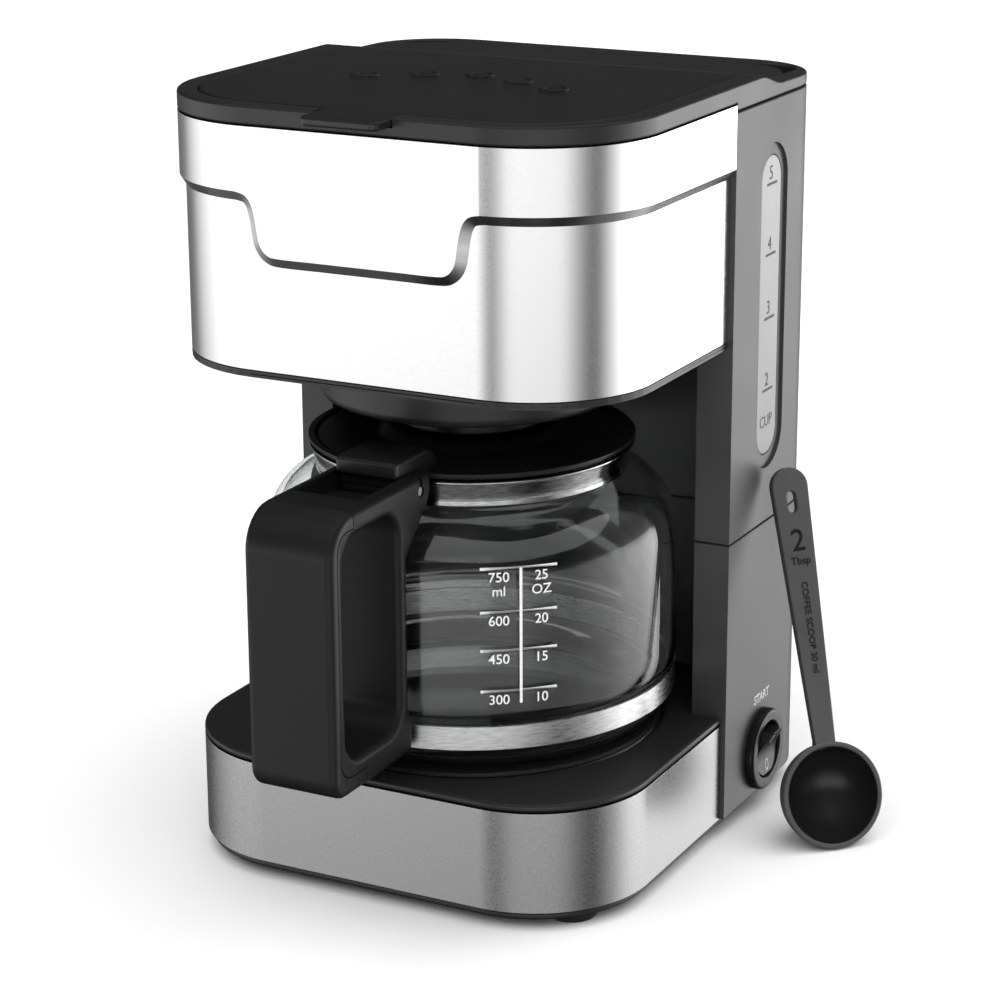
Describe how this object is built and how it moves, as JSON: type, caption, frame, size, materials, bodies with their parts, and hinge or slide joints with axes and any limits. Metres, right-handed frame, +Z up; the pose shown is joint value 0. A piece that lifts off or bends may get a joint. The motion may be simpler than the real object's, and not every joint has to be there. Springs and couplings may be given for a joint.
{
  "type": "drip coffee maker",
  "caption": "Upright drip coffee maker with steel-wrapped base and head, rear water tank, lift-up lid, rocker switch, glass carafe on a warming plate, and a measuring scoop.",
  "frame": {"origin": "bottom centre of the whole object's box, on the surface that it stands on, scoop and handle included", "axes": "+Z up; the carafe handle and the front of the machine face -Y; the water window, the switch and the scoop are on +X"},
  "size_m": [0.2057, 0.2204, 0.25],
  "materials": {
    "rubber": "matte moulded rubber",
    "hardware_steel": "plain zinc-plated steel",
    "black_plastic": "fine satin mould texture",
    "handle_plastic": "soft satin, slightly warm to the touch",
    "column_plastic": "fine spark-eroded satin texture",
    "brushed_steel": "fine-grain satin stainless steel",
    "silicone": "translucent silicone",
    "plate_coating": "black non-stick coating",
    "cast_aluminium": "raw cast",
    "clear_plastic": "clear, slightly smoky",
    "nylon": "natural nylon",
    "carafe_glass": "clear borosilicate glass with white printed scale",
    "scoop_plastic": "dark grey satin"
  },
  "bodies": {
    "machine": {"foot_front_left": "rubber", "foot_front_right": "rubber", "foot_rear_left": "rubber", "foot_rear_right": "rubber", "base_screw_1": "hardware_steel", "base_screw_2": "hardware_steel", "base_screw_3": "hardware_steel", "base_screw_4": "hardware_steel", "bottom_cover": "black_plastic", "base_steel_band": "brushed_steel", "base_tray": "black_plastic", "plate_seal": "silicone", "warming_plate": "plate_coating", "heating_element": "cast_aluminium", "element_bracket": "hardware_steel", "thermostat": "cast_aluminium", "thermal_fuse": "hardware_steel", "lower_column": "column_plastic", "upper_column": "column_plastic", "gauge_window": "clear_plastic", "water_tank": "clear_plastic", "check_valve": "nylon", "inlet_hose": "silicone", "riser_tube": "silicone", "cord_gland": "rubber", "switch_bezel": "black_plastic", "switch_body": "black_plastic", "head_steel_wrap": "brushed_steel", "raised_steel_band": "brushed_steel", "head_frame": "black_plastic", "brew_well": "black_plastic", "filter_basket": "black_plastic", "mesh_filter": "nylon", "spray_arm": "black_plastic", "valve_spring": "hardware_steel", "top_collar": "black_plastic", "lid_hinge_pin_1": "hardware_steel", "lid_hinge_pin_2": "hardware_steel"},
    "lid": {"top_lid": "black_plastic"},
    "switch": {"switch_rocker": "black_plastic"},
    "valve": {"drip_valve": "black_plastic"},
    "carafe": {"carafe_glass": "carafe_glass", "carafe_steel_band": "brushed_steel", "carafe_neck_band": "brushed_steel", "handle_frame": "handle_plastic", "handle_grip": "handle_plastic", "lid_pin": "hardware_steel", "handle_screw": "hardware_steel"},
    "carafe_cover": {"carafe_lid": "black_plastic"},
    "measuring_scoop": {"scoop": "scoop_plastic"}
  },
  "joints": [
    {"name": "lid_hinge", "type": "hinge", "parent": "machine", "child": "lid", "pos_m": [-0.0234, 0.09935, 0.24268], "axis": [-1, 0, 0], "range_deg": [0, 95]},
    {"name": "switch_rock", "type": "hinge", "parent": "machine", "child": "switch", "pos_m": [0.0564, 0.06135, 0.021], "axis": [0, -1, 0], "range_deg": [0, 24]},
    {"name": "carafe_slide", "type": "slide", "parent": "machine", "child": "carafe", "axis": [0, -1, 0], "range_m": [0, 0.16]},
    {"name": "carafe_lid_hinge", "type": "hinge", "parent": "carafe", "child": "carafe_cover", "pos_m": [-0.0234, -0.05615, 0.1348], "axis": [1, 0, 0], "range_deg": [0, 5]},
    {"name": "valve_lift", "type": "slide", "parent": "machine", "child": "valve", "axis": [0, 0, 1], "range_m": [0, 0.0066], "stiffness_N_per_m": 20, "deforming": ["valve_spring"]},
    {"name": "scoop_lift", "type": "slide", "parent": "machine", "child": "measuring_scoop", "axis": [0, 0, 1], "range_m": [0, 0.2]}
  ],
  "couplings": [
    {"joint": "valve_lift", "follows": "carafe_lid_hinge", "m_per_rad": 0.075}
  ]
}
